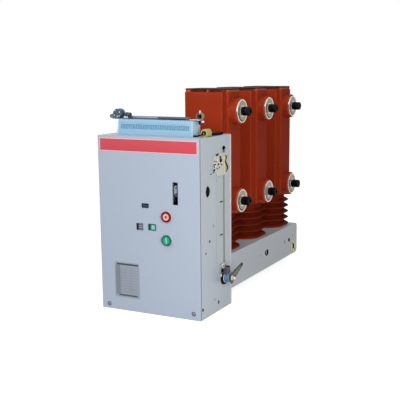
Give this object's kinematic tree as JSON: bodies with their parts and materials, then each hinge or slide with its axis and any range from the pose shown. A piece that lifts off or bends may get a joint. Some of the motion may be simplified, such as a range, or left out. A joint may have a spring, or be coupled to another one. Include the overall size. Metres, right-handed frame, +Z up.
{
  "type": "side mounted vacuum circuit breaker",
  "caption": "Side mounted medium voltage vacuum circuit breaker: grey mechanism box with push buttons, base beam and upright cast resin poles with sheds and round terminals.",
  "frame": {"origin": "centre of the base beam's underside, below the middle pole's axis", "axes": "+X towards the terminals, -Y towards the control panel, +Z up"},
  "size_m": [0.366, 0.8135, 0.639],
  "materials": {
    "panel_grey": "semi-gloss powder coat",
    "side_grey": "semi-gloss powder coat",
    "header_red": "printed film",
    "plate_grey": "satin",
    "block_blue": "satin",
    "block_pale": "satin",
    "dark_steel": "satin",
    "zinc": "zinc plated",
    "ring_yellow": "satin",
    "black_rubber": "matt",
    "window_dark": "gloss",
    "window_green": "gloss",
    "bezel_steel": "satin",
    "button_red": "gloss",
    "button_green": "gloss",
    "lever_grey": "satin",
    "rod_zinc": "yellow zinc plated",
    "yellow_zinc": "yellow zinc plated",
    "epoxy": "gloss cast resin",
    "cap_grey": "satin",
    "disc_silver": "silver plated",
    "bolt_black": "black oxide"
  },
  "bodies": {
    "breaker": {"front_panel": "panel_grey", "housing_shell": "side_grey", "header_strip": "header_red", "rating_plate": "plate_grey", "terminal_block": "block_blue", "block_end_cap": "block_pale", "block_rail": "dark_steel", "left_lug": "zinc", "right_lug": "zinc", "cable_ring": "ring_yellow", "cable_sleeve": "black_rubber", "counter_window": "window_dark", "state_window": "window_dark", "spring_window": "window_green", "open_bezel": "bezel_steel", "close_bezel": "bezel_steel", "charge_bracket": "zinc", "rod_cover": "side_grey", "interlock_rod": "rod_zinc", "upper_bearing": "yellow_zinc", "lower_bearing": "zinc", "base_beam": "side_grey", "beam_end_plate": "side_grey", "pole_a": "epoxy", "pole_b": "epoxy", "pole_c": "epoxy", "cap_a": "cap_grey", "cap_b": "cap_grey", "cap_c": "cap_grey", "upper_disc_a": "disc_silver", "upper_disc_b": "disc_silver", "upper_disc_c": "disc_silver", "lower_disc_a": "disc_silver", "lower_disc_b": "disc_silver", "lower_disc_c": "disc_silver", "upper_bolt_a": "bolt_black", "upper_bolt_b": "bolt_black", "upper_bolt_c": "bolt_black", "lower_bolt_a": "bolt_black", "lower_bolt_b": "bolt_black", "lower_bolt_c": "bolt_black"},
    "open_button_body": {"open_button": "button_red"},
    "close_button_body": {"close_button": "button_green"},
    "charge_lever_body": {"charge_lever": "lever_grey"},
    "interlock_lever_body": {"interlock_lever": "rod_zinc"}
  },
  "joints": [
    {"name": "open_push", "type": "slide", "parent": "breaker", "child": "open_button_body", "axis": [0, 1, 0], "range_m": [0, 0.006], "stiffness_N_per_m": 800, "springref_m": -0.004},
    {"name": "close_push", "type": "slide", "parent": "breaker", "child": "close_button_body", "axis": [0, 1, 0], "range_m": [0, 0.006], "stiffness_N_per_m": 800, "springref_m": -0.004},
    {"name": "charge_swing", "type": "hinge", "parent": "breaker", "child": "charge_lever_body", "pos_m": [0.0435, -0.478, 0.327], "axis": [1, 0, 0], "range_deg": [0, 28]},
    {"name": "interlock_turn", "type": "hinge", "parent": "breaker", "child": "interlock_lever_body", "pos_m": [0.14, -0.374, 0.064], "axis": [1, 0, 0], "range_deg": [-60, 30]}
  ]
}
